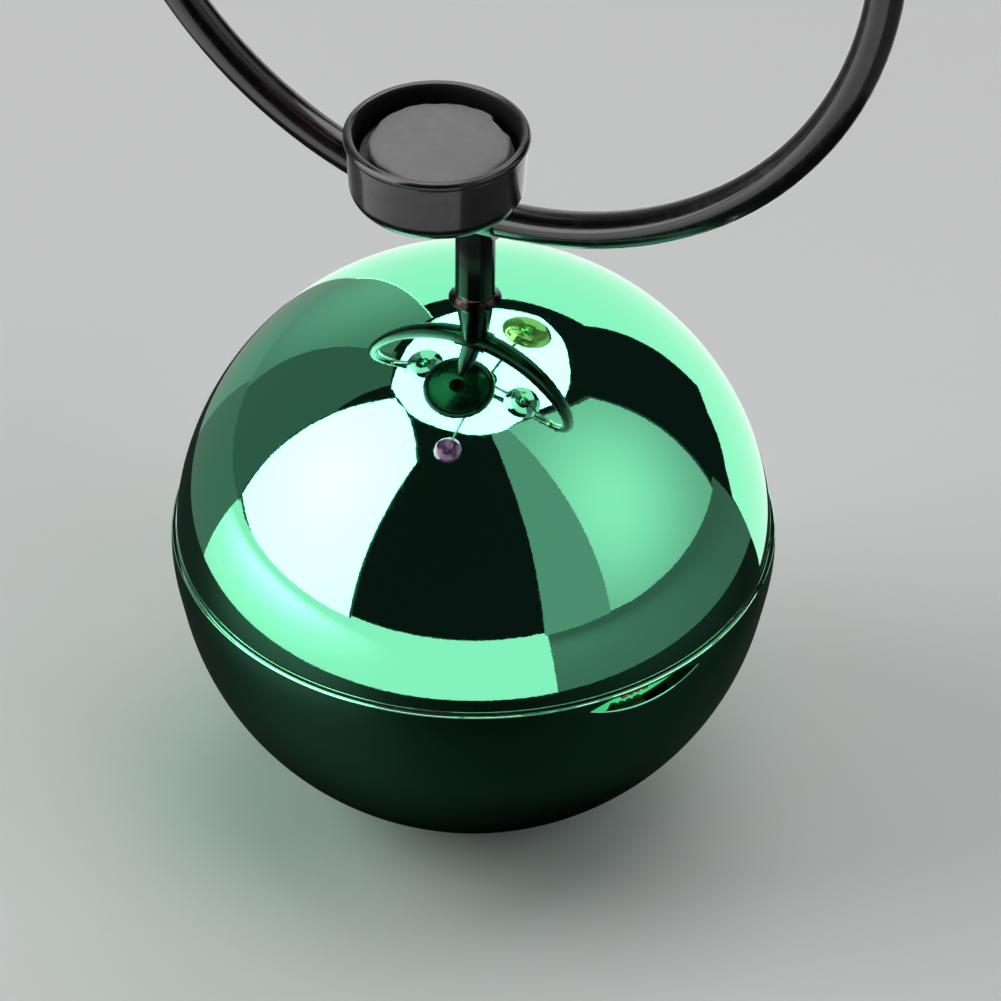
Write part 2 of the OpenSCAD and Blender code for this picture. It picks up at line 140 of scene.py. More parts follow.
def plain(name, light, dark, rough=(0.3, 0.45), metallic=0.0, scale=300, grain=0.15, depth=0.0001):
    """Moulded plastic, rubber, paint or metal with fine grain and slight colour change."""
    m = Mat(name).set(Metallic=metallic)
    m.color(m.ramp(m.noise(scale, 4), [(0.3, dark), (0.7, light)]))
    m.rough(m.noise(scale * 2.3, 3), rough[0], rough[1], 0.3, 0.7)
    m.bump(m.noise(scale * 4, 2), grain, depth)
    return m


def brushed(name, light, dark, stretch, rough=(0.18, 0.32)):
    """Turned or drawn metal with fine lines along one direction."""
    m = Mat(name).set(Metallic=1.0)
    fine = m.noise(400, 4, 0.6, stretch)
    m.color(m.ramp(fine, [(0.3, dark), (0.7, light)]))
    m.rough(fine, rough[0], rough[1], 0.3, 0.7)
    m.bump(fine, 0.1, 0.00003)
    return m


def lacquer(name, coat=0.55, gloss=0.4):
    """Gloss black lacquer on metal: nearly black, clear-coated, slightly wavy."""
    m = Mat(name).set(Metallic=0.0, Coat_Weight=coat, Coat_Roughness=0.08, Specular_IOR_Level=gloss)
    m.color(m.ramp(m.noise(160, 3), [(0.35, (0.002, 0.002, 0.0025)), (0.7, (0.005, 0.005, 0.0055))]))
    m.rough(m.noise(500, 3), 0.16, 0.30, 0.3, 0.7)
    m.bump(m.noise(220, 2), 0.10, 0.00012)
    return m


GREEN_LIGHT, GREEN_DARK = (0.240, 0.90, 0.520), (0.215, 0.86, 0.480)
mats = {
    "green": mirror("green_chrome", GREEN_LIGHT, GREEN_DARK),
    "pink": mirror("pink_chrome", (1.0, 0.15, 0.50), (0.94, 0.12, 0.44)),
    "gold": mirror("gold_chrome", (0.96, 0.76, 0.30), (0.90, 0.70, 0.26)),
    "silver": mirror("silver_chrome", (0.86, 0.88, 0.90), (0.80, 0.82, 0.84)),
    "green_lip": mirror("green_lip", GREEN_LIGHT, GREEN_DARK),
    "lacquer": lacquer("black_lacquer"),
    "stem_lacquer": lacquer("stem_lacquer", 0.2, 0.1),
    "steel": brushed("bright_steel", (0.68, 0.69, 0.71), (0.55, 0.56, 0.58), (1, 1, 30)),
    "rod": brushed("drawn_rod", (0.40, 0.41, 0.42), (0.30, 0.31, 0.32), (1, 1, 30), (0.22, 0.36)),
    "steel_x": brushed("axle_steel", (0.70, 0.71, 0.73), (0.56, 0.57, 0.59), (0.2, 8, 8)),
    "brass": brushed("turned_brass", (0.80, 0.60, 0.28), (0.66, 0.48, 0.20), (30, 1, 1)),
    "iron": plain("cast_iron", (0.13, 0.135, 0.14), (0.06, 0.062, 0.066), (0.5, 0.7), 1.0, 220, 0.5, 0.0004),
    "core": plain("soft_iron", (0.40, 0.41, 0.43), (0.30, 0.31, 0.33), (0.3, 0.45), 1.0, 260),
    # Matte black, darker than the lacquer; inside the cup this darker tone is painted shade
    "matte_black_and_shade": plain("matte_black_and_shade", (0.0025, 0.0025, 0.0027), (0.001, 0.001, 0.0011), (0.6, 0.75), 0, 420,
                         0.2),
    "black": plain("black_plastic", (0.018, 0.018, 0.019), (0.009, 0.009, 0.010), (0.38, 0.55), 0, 420, 0.2),
    "rubber": plain("black_rubber", (0.016, 0.016, 0.017), (0.008, 0.008, 0.009), (0.6, 0.8), 0, 500, 0.35),
    "red": plain("switch_plastic", (0.56, 0.155, 0.135), (0.45, 0.11, 0.10), (0.28, 0.4), 0, 350, 0.15),
    "ivory": plain("ivory_plastic", (0.72, 0.68, 0.55), (0.63, 0.58, 0.46), (0.4, 0.5), 0, 350),
    "board": plain("solder_mask", (0.02, 0.16, 0.06), (0.012, 0.11, 0.04), (0.25, 0.35), 0, 240),
    "blue": plain("sleeve_blue", (0.03, 0.05, 0.24), (0.02, 0.035, 0.18), (0.25, 0.35), 0, 300),
    "cell": plain("cell_sleeve", (0.36, 0.03, 0.025), (0.28, 0.02, 0.018), (0.22, 0.3), 0.3, 260, 0.08),
    "lead": plain("lead_sheath", (0.42, 0.03, 0.025), (0.34, 0.02, 0.018), (0.4, 0.55), 0, 600),
    "magnet": plain("nickel_plate", (0.68, 0.67, 0.65), (0.60, 0.59, 0.57), (0.12, 0.2), 1.0, 300, 0.05),
}

# The coloured plating of the arm balls is a little milky
for name in ("pink", "gold"):
    mats[name].set(Metallic=0.62)

# Lower shell: the same plating, with a painted highlight: near-white metal colour along the top edge of its
# lip
lip = mats["green_lip"]
split = lip.n("SeparateXYZ")
lip.l(lip.co, split.inputs[0])
LIP_HIGHLIGHT_FROM, LIP_HIGHLIGHT_FULL = 0.04349, 0.04353
edge = lip.n("MapRange", From_Min=LIP_HIGHLIGHT_FROM, From_Max=LIP_HIGHLIGHT_FULL)
lip.l(split.outputs["Z"], edge.inputs["Value"])
# Painted highlight: the top edge of the lip turns near-white
lip_highlight = lip.n("MixRGB")
lip_highlight.inputs["Color2"].default_value = (0.90, 0.93, 0.88, 1)
lip.l(edge.outputs["Result"], lip_highlight.inputs["Fac"])
lip.l(lip.b.inputs["Base Color"].links[0].from_socket, lip_highlight.inputs["Color1"])
lip.color(lip_highlight.outputs["Color"])

# Stem ferrule: dark plating with random patches of warm and pale metal
ferrule = Mat("ferrule_plating").set(Metallic=1.0)
ferrule_tones = [(0.45, (0.015, 0.014, 0.013)), (0.62, (0.09, 0.065, 0.045)), (0.76, (0.32, 0.28, 0.24))]
ferrule.color(ferrule.ramp(ferrule.noise(700, 4), ferrule_tones))
ferrule.rough(ferrule.noise(500, 3), 0.12, 0.3, 0.3, 0.7)
mats["ferrule"] = ferrule

# The inside of the cup has hardly any sheen, and its darker black is painted shade in the cup's hollow
mats["matte_black_and_shade"].set(Specular_IOR_Level=0.15)

# Copper winding: fine turns one above the other
copper = Mat("copper_winding").set(Metallic=1.0, Roughness=0.3)
turns = copper.n("TexWave", Scale=700.0, Distortion=0.6, Detail=2.0, bands_direction="Z")
copper.l(copper.co, turns.inputs["Vector"])
copper.color(copper.ramp(turns.outputs["Fac"], [(0.2, (0.28, 0.10, 0.04)), (0.8, (0.72, 0.33, 0.15))]))
copper.bump(turns.outputs["Fac"], 0.5, 0.0001)
mats["copper"] = copper

# Grey cover disc: soft-sheen plastic with small pale and dark mottles
disc = Mat("mottled_disc").set(Metallic=0.0)
mottle = disc.noise(420, 5, 0.65)
disc_tones = [(0.25, (0.150, 0.150, 0.152)), (0.55, (0.175, 0.175, 0.177)), (0.80, (0.205, 0.205, 0.208))]
disc.color(disc.ramp(mottle, disc_tones))
disc.rough(disc.noise(150, 3), 0.5, 0.65, 0.3, 0.7)
disc.bump(mottle, 0.25, 0.00008)
mats["disc"] = disc

FINISH = {
    "lower_shell": "green", "upper_shell": "green", "seam_gasket": "rubber", "shell_screws": "steel",
    "ballast_ring": "iron", "battery_tube": "black", "battery_cells": "cell", "contact_springs": "steel",
    "circuit_board": "board", "board_screws": "steel", "driver_chip": "black", "capacitor": "blue",
    "transistor": "black", "lead_connector": "ivory", "switch_housing": "black", "stem": "stem_lacquer",
    "stem_collar": "steel", "stem_washer": "steel", "stem_nut": "steel", "ring": "lacquer",
    "cup_arm": "lacquer", "cup": "lacquer", "cup_screw": "matte_black_and_shade", "coil_bobbin": "black",
    "drive_coil": "copper", "coil_core": "core", "cover_disc": "disc", "coil_lead": "lead",
    "axle_bushes": "brass", "switch_slider": "red", "battery_cap": "black", "foot_pad": "rubber",
    "cap_contact": "brass", "axle": "steel_x", "axle_caps": "rubber", "rocker_hub": "black",
    "hub_screw": "steel", "front_arm": "rod", "back_arm": "rod", "pink_ball": "pink",
    "gold_ball": "gold", "silver_balls": "silver", "magnet_holder": "black", "rocker_magnet": "magnet",
}
# The CAD nodes keep their mesh and place, and get a finish and smooth shading
for name, obj in nodes.items():
    obj.data.materials.clear()
    obj.data.materials.append(mats[FINISH[name]].m)
    for p in obj.data.polygons:
        p.use_smooth = True
    obj.data.set_sharp_from_angle(angle=math.radians(28))

# ---- Mesh helpers ----
def add_mesh(name, bm, mat, body=None, stands_for=()):
    """Makes a smooth-shaded piece of a bmesh, and says what it rides on and which nodes it stands for."""
    me = bpy.data.meshes.new(name)
    bmesh.ops.recalc_face_normals(bm, faces=bm.faces)
    bm.to_mesh(me)
    bm.free()
    for p in me.polygons:
        p.use_smooth = True
    me.set_sharp_from_angle(angle=math.radians(30))
    me.materials.append(mat)
    ob = bpy.data.objects.new(name, me)
    bpy.context.collection.objects.link(ob)
    if body:
        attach(ob, body)
    if stands_for:
        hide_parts(*stands_for)
    return ob


def lathe(profile, seg=192, move=Matrix.Identity(4), turn=None, bm=None):
    """Closed profile of (radius, height) in millimetres, turned about the Z axis and moved.
    turn = (from, to) in degrees makes only a closed sector."""
    bm = bm or bmesh.new()
    steps = seg if turn is None else seg + 1
    a0, a1 = (0, 360) if turn is None else turn
    rings = []
    for i in range(steps):
        a = math.radians(a0 + (a1 - a0) * i / seg)
        points = [Vector((r * math.cos(a), r * math.sin(a), z)) * MM for r, z in profile]
        rings.append([bm.verts.new(move @ point) for point in points])
    n = len(profile)
    on_axis = [r < 1e-6 for r, z in profile]
    for i in range(seg):
        p, q = rings[i], rings[(i + 1) % steps]
        for j in range(n):
            k = (j + 1) % n
            if on_axis[j] and on_axis[k]:
                continue
            face = [p[j], q[j], q[k], p[k]]
            if on_axis[j]:
                face = [p[j], q[k], p[k]]
            elif on_axis[k]:
                face = [p[j], q[j], p[k]]
            bm.faces.new(face)
    if turn is not None:
        bm.faces.new(rings[0])
        bm.faces.new(rings[-1])
    bmesh.ops.remove_doubles(bm, verts=bm.verts, dist=1e-7)
    return bm


def arc(cx, cy, r, a0, a1, n=8):
    """Points of an arc round (cx, cy), from angle a0 to angle a1 in degrees."""
    return [(cx + r * math.cos(math.radians(a0 + (a1 - a0) * i / n)),
             cy + r * math.sin(math.radians(a0 + (a1 - a0) * i / n))) for i in range(n + 1)]


def along(point, direction):
    """Places the Z axis of a lathe at a point, along a direction."""
    m = Vector(direction).normalized().to_track_quat("Z", "Y").to_matrix().to_4x4()
    m.translation = Vector(point)
    return m


def boolean(ob, cutter, how):
    """Applies one exact boolean and removes the cutter."""
    mod = ob.modifiers.new("cut", "BOOLEAN")
    mod.object, mod.operation, mod.solver = cutter, how, "EXACT"
    dg = bpy.context.evaluated_depsgraph_get()
    me = bpy.data.meshes.new_from_object(ob.evaluated_get(dg))
    ob.modifiers.clear()
    old = ob.data
    ob.data = me
    me.name = ob.name
    bpy.data.meshes.remove(old)
    bpy.data.objects.remove(cutter)


def smooth_normals(me, rule):
    """Gives every face corner the normal that rule(point, face normal, face centre) returns."""
    out = []
    for p in me.polygons:
        for li in p.loop_indices:
            v = me.vertices[me.loops[li].vertex_index].co
            out.append(rule(v, p.normal, p.center))
    me.normals_split_custom_set(out)


# Sizes of the two half shells, heights counted from the ball's middle
at_ball = Matrix.Translation(BALL)
WALL = 2.0
SEAM = 2.8
GAP = 0.3
LIP = 0.5
STEM_HOLE = 2.62
UPPER_EDGE = 0.22
INNER_R = R - WALL

# ---- Upper half shell: thin turned-in edge at the seam, hole for the stem ----
def upper_profile():
    """Closed half section, up the outside and down the inside, with a rounded lower edge."""
    top = math.degrees(math.acos(STEM_HOLE / R))
    low = SEAM + GAP
    edge_z = low + UPPER_EDGE
    outer = arc(0, 0, R, top, math.degrees(math.asin(edge_z / R)), 150)
    edge_r = math.sqrt(R * R - edge_z ** 2)
    outer += arc(edge_r - UPPER_EDGE, edge_z, UPPER_EDGE, -8, -90, 6)
    from_seam = math.degrees(math.asin(low / INNER_R))
    inner = arc(0, 0, INNER_R, from_seam, math.degrees(math.acos(STEM_HOLE / INNER_R)), 40)
    return outer + inner


add_mesh("upper_shell_mirror", lathe(upper_profile(), 320, at_ball), mats["green"].m, "base",
         ["upper_shell"])

# ---- Lower half shell: lip at the seam, thumb notch, switch slot, screw recesses ----
CUT = -36.59
FLOOR_IN = -33.59
FLOOR_HOLE = 14.0
BLEND_LOW = SEAM - 10.0
BLEND_HIGH = SEAM - 1.2
LIP_EDGE = 0.13
SCREW_TURNS = (-3, 117, 237)
SCREW_AT = 31


def lower_r(z):
    """Outer radius at a height: the ball's, swelling smoothly to the lip under the seam."""
    t = min(1, max(0, (z - BLEND_LOW) / (BLEND_HIGH - BLEND_LOW)))
    return math.sqrt(R * R - z * z) + LIP * t * t * (3 - 2 * t)


def lower_profile():
    """Closed half section of the bowl, with a rounded lip and a hole for the battery cap."""
    steps = 150
    lip_z = SEAM - LIP_EDGE
    zs = [CUT + (lip_z - CUT) * i / steps for i in range(steps + 1)]
    outer = [(lower_r(z), z) for z in zs]
    outer += arc(lower_r(lip_z) - LIP_EDGE, lip_z, LIP_EDGE, 10, 90, 6)
    from_seam = math.degrees(math.asin(SEAM / INNER_R))
    inner = arc(0, 0, INNER_R, from_seam, math.degrees(math.asin(FLOOR_IN / INNER_R)), 40)
    return outer + inner + [(FLOOR_HOLE, FLOOR_IN), (FLOOR_HOLE, CUT)]


def at_screws(profile, seg, bm):
    """Adds one turned solid to bm at each shell screw."""
    for t in SCREW_TURNS:
        a = math.radians(t)
        spot = BALL + Vector((SCREW_AT * math.cos(a), SCREW_AT * math.sin(a), 0)) * MM
        lathe(profile, seg, Matrix.Translation(spot), bm=bm)


lower = add_mesh("lower_shell_mirror", lathe(lower_profile(), 320, at_ball), mats["green_lip"].m)
NOTCH = math.radians(-29)
notch_frame = at_ball @ Matrix.Rotation(NOTCH, 4, "Z")
notch_back, notch_turned = notch_frame.inverted(), Matrix.Rotation(NOTCH, 3, "Z")

# Inside, a thicker wall behind the notch and a pillar over each screw
back_top = SEAM - 0.02
back_wall = [(34.2, -4.2), (38.3, -4.2), (38.3, back_top), (34.2, back_top)]
inside = lathe(back_wall, 24, at_ball, (-48, -10))
pillar_r, pillar_low, pillar_top = 3.8, -17, SEAM - 0.05
pillar = [(0, pillar_low), (pillar_r, pillar_low), (pillar_r, pillar_top), (0, pillar_top)]
at_screws(pillar, 32, inside)
boolean(lower, add_mesh("inside", inside, mats["green_lip"].m), "UNION")

# Eye-shaped pocket under the seam, with a fine chamfer along its lower edge
NOTCH_HALF, NOTCH_REACH = 8.5, 1.6
NOTCH_MID, NOTCH_TOP = SEAM - 1.4, SEAM - 0.35
NOTCH_FLOOR = 38.4
CHAMFER = 0.13
NOTCH_ARC = (NOTCH_HALF ** 2 + NOTCH_REACH ** 2) / (2 * NOTCH_REACH)
notch_mid = NOTCH_MID - NOTCH_REACH + NOTCH_ARC


def pocket_outline(grow, n=90):
    """Eye outline of the pocket: two arcs, the upper one cut off under the seam."""
    low_side, high_side = [], []
    half = NOTCH_HALF + grow
    for i in range(n + 1):
        y = -half + 2 * half * i / n
        k = y / half * NOTCH_HALF
        drop = math.sqrt(NOTCH_ARC ** 2 - k * k) - NOTCH_ARC + NOTCH_REACH
        low_side.append((y, NOTCH_MID - drop - grow * drop / NOTCH_REACH))
        high_side.append((y, min(NOTCH_TOP, NOTCH_MID + drop + grow * 0.5)))
    return low_side + high_side[-2:0:-1]


# The cutter runs from the flat floor to just inside the skin, flares to the chamfer, and goes on outside
pocket = bmesh.new()
rings = []
for grow, depth in ((0, None), (0, -CHAMFER), (CHAMFER, 0.02), (CHAMFER, 4.0)):
    ring = []
    for y, z in pocket_outline(grow):
        x = NOTCH_FLOOR if depth is None else math.sqrt(lower_r(min(z, SEAM - 0.2)) ** 2 - y * y) + depth
        ring.append(pocket.verts.new(notch_frame @ (Vector((x, y, z)) * MM)))
    rings.append(ring)
for one, two in zip(rings, rings[1:]):
    for i in range(len(one)):
        j = (i + 1) % len(one)
        pocket.faces.new((one[i], one[j], two[j], two[i]))
pocket.faces.new(rings[0][::-1])
pocket.faces.new(rings[-1])
bmesh.ops.recalc_face_normals(pocket, faces=pocket.faces[:])
boolean(lower, add_mesh("pocket", pocket, mats["green_lip"].m), "DIFFERENCE")

# Slot for the knob in the pocket's floor, and the screws' recesses
slots = bmesh.new()
SLOT_X, SLOT_Y, SLOT_Z = (33, 42), (-4, 4), (0.75, 2.25)
corners = [Vector((x, y, z)) * MM for x in SLOT_X for y in SLOT_Y for z in SLOT_Z]
vs = [slots.verts.new(notch_frame @ c) for c in corners]
for f in ((0, 1, 3, 2), (4, 6, 7, 5), (0, 4, 5, 1), (2, 3, 7, 6), (0, 2, 6, 4), (1, 5, 7, 3)):
    slots.faces.new([vs[i] for i in f])
recess_r, recess_low, recess_top = 2.7, -31, -10
recess = [(0, recess_low), (recess_r, recess_low), (recess_r, recess_top), (0, recess_top)]
at_screws(recess, 48, slots)
boolean(lower, add_mesh("slots", slots, mats["green_lip"].m), "DIFFERENCE")
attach(lower, "base")
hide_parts("lower_shell")


def lower_rule(v, face_n, centre):
    """Exact normals on the outer skin and on the pocket's lower edge; flat elsewhere."""
    p = (v - BALL) * PER_M
    c = (centre - BALL) * PER_M
    rho, z = math.hypot(p.x, p.y), p.z
    c_rho = math.hypot(c.x, c.y)
    if abs(c_rho - lower_r(min(c.z, SEAM - 0.1))) < 0.03 and c.z < SEAM - 0.15:
        step = 0.01
        slope = (lower_r(z + step) - lower_r(z - step)) / (2 * step)
        return Vector((p.x / rho, p.y / rho, -slope)).normalized()
    local, mid = notch_back @ v * PER_M, notch_back @ centre * PER_M
    away = math.hypot(mid.y, mid.z - notch_mid) - NOTCH_ARC
    if mid.x > NOTCH_FLOOR + 0.01 and mid.z < NOTCH_MID and abs(away) < 0.3:
        to_axis = Vector((0, -local.y, notch_mid - local.z)).normalized()
        if away > 0.02:
            to_axis = (to_axis + Vector((1, 0, 0))).normalized()
        return notch_turned @ to_axis
    return face_n


me = lower.data
for p in me.polygons:
    p.use_smooth = True
smooth_normals(me, lower_rule)

# ---- Stem ferrule: a thin dark flare with a thin edge, its plating mottled dark, warm and pale ----
STEM_R, FLARE_OUT, FLARE_TALL, FLARE_STEPS = 2.6, 0.78, 1.25, 12
pole = math.sqrt(R * R - STEM_R * STEM_R)
foot = pole + 0.06
flare = [(STEM_R, pole - 0.03), (3.44, pole - 0.08), (3.45, pole - 0.02), (STEM_R + FLARE_OUT, foot)]
for i in range(1, FLARE_STEPS + 1):
    t = i / FLARE_STEPS
    flare.append((STEM_R + FLARE_OUT * (1 - t) ** 2.4, foot + FLARE_TALL * t))
add_mesh("stem_ferrule", lathe(flare, 96, at_ball), mats["ferrule"].m, "base", ["stem_collar"])

# ---- Cup with a rolled rim and a large bottom round, and the disc's uneven edge ----
cup_lo, cup_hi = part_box("cup")
cup_mid = (cup_lo + cup_hi) / 2
at_cup = Matrix.Translation((cup_mid.x, cup_mid.y, cup_lo.z))
CUP_R = (cup_hi.x - cup_lo.x) / 2 * PER_M
CUP_H = (cup_hi.z - cup_lo.z) * PER_M
ROLL, CUP_ROUND, CUP_TAPER = 0.68, 2.5, 0.25
CUP_FLOOR, INNER_ROUND = 1.0, 0.3
wall_out, wall_in = CUP_R - 0.42, CUP_R - 1.4
foot_r = wall_out - CUP_TAPER
wall_tall = CUP_H - 2 * ROLL - CUP_ROUND - 0.2
round_z = CUP_FLOOR + INNER_ROUND
profile = [(0, 0)] + arc(foot_r - CUP_ROUND, CUP_ROUND, CUP_ROUND, -90, 0, 12)
profile += [(foot_r + CUP_TAPER * t, CUP_ROUND + wall_tall * t) for t in (0.25, 0.5, 0.75, 1)]
profile += arc(CUP_R - ROLL, CUP_H - ROLL, ROLL, -70, 165, 20)
profile += [(wall_in, CUP_H - 1.6), (wall_in, round_z)]
profile += arc(wall_in - INNER_ROUND, round_z, INNER_ROUND, 0, -90, 3) + [(0, CUP_FLOOR)]
cup = add_mesh("cup_lacquered", lathe(profile, 224, at_cup), mats["lacquer"].m, "base",
               ["cup"])
# The inside of the cup is left matte, in a darker black than the lacquer: painted shade in its hollow
cup.data.materials.append(mats["matte_black_and_shade"].m)
for p in cup.data.polygons:
    rho = math.hypot(p.center.x - cup_mid.x, p.center.y - cup_mid.y) * PER_M
    height = (p.center.z - cup_lo.z) * PER_M
    if rho < wall_in + 0.3 and height > CUP_FLOOR - 0.1:
        p.material_index = 1

d_lo, d_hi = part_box("cover_disc")
d_mid = (d_lo + d_hi) / 2
DISC_R = (d_hi.x - d_lo.x) / 2 * PER_M
DISC_RISE = 0.2
d_top = (d_hi.z - d_lo.z) * PER_M + DISC_RISE
profile = [(0, 0), (DISC_R - 1.1, 0), (DISC_R - 0.9, 0.3), (DISC_R - 0.06, d_top - 0.65)]
profile += arc(DISC_R - 0.5, d_top - 0.6, 0.5, 0, 80, 8)
profile += [(DISC_R * k, d_top - 0.1 * k ** 3) for k in (0.9, 0.75, 0.6, 0.45, 0.3, 0.15)] + [(0, d_top)]
bm = lathe(profile, 200, Matrix.Translation((d_mid.x, d_mid.y, d_lo.z)))


def rim_change(a):
    """How far the disc's rim stands out at angle a: a ragged edge with one broken nick."""
    ragged = 0.10 * math.sin(5 * a + 1.0) + 0.07 * math.sin(11 * a + 0.4) + 0.04 * math.sin(23 * a)
    deep = -0.7 * math.exp(-((a - math.radians(62)) / 0.10) ** 2)
    wide = 0.45 * math.exp(-((a - math.radians(50)) / 0.16) ** 4)
    return ragged - 0.07 + (deep - wide)


RIM_SHARE = 0.94
for v in bm.verts:
    x, y = v.co.x - d_mid.x, v.co.y - d_mid.y
    rho = math.hypot(x, y)
    if rho > DISC_R * RIM_SHARE * MM:
        k = 1 + rim_change(math.atan2(y, x)) * MM / rho
        v.co.x, v.co.y = d_mid.x + x * k, d_mid.y + y * k
add_mesh("cover_disc_cast", bm, mats["disc"].m, "base", ["cover_disc"])

# ---- Plated balls of the rocker, each with a small grommet where its rod goes in ----
hub = (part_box("rocker_hub")[0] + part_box("rocker_hub")[1]) / 2
AXLE_Z = (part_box("axle")[0].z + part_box("axle")[1].z) / 2
HUB = Vector((hub.x, 0, AXLE_Z))
GROMMET = 0.55


def ball(name, centre, inward, r, hole, mat, both=False):
    """Ball whose rod enters from the side that inward points to; both = a rod right through."""
    a = math.degrees(math.acos(hole / r))
    g = math.degrees(math.acos((hole + GROMMET) / r))
    mouth = r * math.sin(math.radians(a)) + 0.22
    grommet = [(hole, mouth), (hole + 0.35, r + 0.2), (hole + GROMMET, r - 0.02)]
    side = grommet + arc(0, 0, r, g, 0, 60)
    if both:
        other = [(x, -z) for x, z in reversed(side)][1:]
        profile = side + other
    else:
        profile = side + arc(0, 0, r, 0, -89.9, 60)[1:] + [(0, -r), (0, 0), (hole, 0)]
    ob = add_mesh(name, lathe(profile, 128, along(centre, inward)), mats[mat].m, "rocker")
    return ob


front_c = (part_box("pink_ball")[0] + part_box("pink_ball")[1]) / 2
back_c = (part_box("gold_ball")[0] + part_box("gold_ball")[1]) / 2
PINK_R, GOLD_R = [(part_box(n)[1].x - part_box(n)[0].x) / 2 * PER_M for n in ("pink_ball", "gold_ball")]
ARM_HOLE, AXLE_HOLE = 0.8, 1.0
pink = ball("pink_ball_plated", front_c, HUB - front_c, PINK_R, ARM_HOLE, "pink")
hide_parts("pink_ball")
gold = ball("gold_ball_plated", back_c, HUB - back_c, GOLD_R, ARM_HOLE, "gold")
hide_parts("gold_ball")
s_lo, s_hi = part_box("silver_balls")
SILVER_R = (s_hi.z - s_lo.z) / 2 * PER_M
SILVER_AT = s_hi.x - SILVER_R * MM
for word, side in (("left", -1), ("right", 1)):
    centre = Vector((side * SILVER_AT, 0, AXLE_Z))
    ball("silver_ball_" + word, centre, (1, 0, 0), SILVER_R, AXLE_HOLE, "silver",
                     both=True)
# The left one stands for the CAD's pair, and the right one comes beside it
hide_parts("silver_balls")

# ---- Studio in the mirrors: tall softboxes left and right, light overhead, walls behind ----
def emitter(name, color, strength, fade=None):
    """Plain light. fade = (point, radius, edge) lets it fall to edge times its strength away from a point."""
    m = bpy.data.materials.new(name)
    m.use_nodes = True
    t = m.node_tree
    t.nodes.clear()
    e = t.nodes.new("ShaderNodeEmission")
    e.inputs["Color"].default_value = (*color, 1)
    e.inputs["Strength"].default_value = strength
    if fade:
        point, radius, edge = fade
        co = t.nodes.new("ShaderNodeTexCoord")
        away = t.nodes.new("ShaderNodeVectorMath")
        away.operation = "DISTANCE"
        away.inputs[1].default_value = point
        t.links.new(co.outputs["Object"], away.inputs[0])
        mr = t.nodes.new("ShaderNodeMapRange")
        mr.interpolation_type = "SMOOTHSTEP"
        limits = {"From Min": 0, "From Max": radius, "To Min": strength, "To Max": strength * edge}
        for k, v in limits.items():
            mr.inputs[k].default_value = v
        t.links.new(away.outputs["Value"], mr.inputs["Value"])
        t.links.new(mr.outputs["Result"], e.inputs["Strength"])
    t.links.new(e.outputs[0], t.nodes.new("ShaderNodeOutputMaterial").inputs[0])
    return m


def on_dome(az, el, radius):
    """Point seen from the ball's middle at an azimuth and an elevation."""
    a, e = math.radians(az), math.radians(el)
    return BALL + radius * Vector((math.cos(a) * math.cos(e), math.sin(a) * math.cos(e), math.sin(e)))


def room_piece(name, bm, mat):
    """Turns a finished bmesh into a piece of the room."""
    me = bpy.data.meshes.new(name)
    bm.to_mesh(me)
    bm.free()
    me.materials.append(mat)
    ob = bpy.data.objects.new(name, me)
    bpy.context.collection.objects.link(ob)
    return ob


def only_in_mirrors(ob):
    """Lets a piece of the room show in reflections and nowhere else."""
    ob.visible_camera = ob.visible_diffuse = ob.visible_shadow = False


def grid_card(name, rows, mat):
    """Sheet through rows of points, seen only in reflections."""
    bm = bmesh.new()
    vs = [[bm.verts.new(p) for p in row] for row in rows]
    for j in range(len(vs) - 1):
        for i in range(len(vs[0]) - 1):
            bm.faces.new((vs[j][i], vs[j][i + 1], vs[j + 1][i + 1], vs[j + 1][i]))
    only_in_mirrors(room_piece(name, bm, mat))


def card(name, az, low, high, radius, mat):
    """Light panel on a dome round the ball, from azimuth az[0] to az[1] in degrees, counted from +X
    towards +Y. low and high are its lower and upper edge's elevation at equal steps across."""
    steps = 24

    def height(values, t):
        x = t * (len(values) - 1)
        i = min(int(x), len(values) - 2)
        return values[i] + (values[i + 1] - values[i]) * (x - i) if len(values) > 1 else values[0]

    rows = []
    for j in range(steps + 1):
        row = []
        for i in range(steps + 1):
            lo, hi = height(low, i / steps), height(high, i / steps)
            row.append(on_dome(az[0] + (az[1] - az[0]) * i / steps, lo + (hi - lo) * j / steps, radius))
        rows.append(row)
    grid_card(name, rows, mat)


def sector(name, steps, az_end, z, mat, seg=48):
    """Part of the table plane: steps gives (radius, first azimuth), all ending at azimuth az_end."""
    rows = []
    for r, az in steps:
        turns = [math.radians(az + (az_end - az) * i / seg) for i in range(seg + 1)]
        rows.append([Vector((r * math.cos(a), r * math.sin(a), z)) for a in turns])
    grid_card(name, rows, mat)


WHITE = (1, 1, 1)
FAR = 1.6
card("softbox_left", (-167, -108), (1, -3, -3, -3), (63, 66.5, 67.5, 67, 65, 60), FAR,
     emitter("softbox_left", WHITE, 4.2, (on_dome(-140, 35, FAR), 1.6, 0.75)))
card("frame_left", (-168, -107), (0, -4.3, -4.3, -4.3), (64, 67, 68, 67.5, 66, 61), FAR * 1.02,
     emitter("frame_left", WHITE, 0.07))
card("softbox_right", (-13, 46), (-1, -2, -2, -3), (75, 73.5, 70, 62, 50), FAR,
     emitter("softbox_right", WHITE, 0.94, (on_dome(4, 32, FAR), 1.4, 0.5)))
card("frame_right", (-13, 47), (-2, -3.2, -3.2, -4.2), (75, 74, 71, 63, 51), FAR * 1.02,
     emitter("frame_right", WHITE, 0.07))
card("side_strip", (-38, -13), (-4, -4), (76.5, 75), FAR, emitter("side_strip", WHITE, 0.31))
card("back_wall", (84, 133), (-2,), (33, 36, 38, 38, 39), FAR, emitter("back_wall", WHITE, 1.06))
card("back_wall_end", (74, 84), (-2,), (1, 17, 33), FAR, emitter("back_wall_end", WHITE, 1.06))
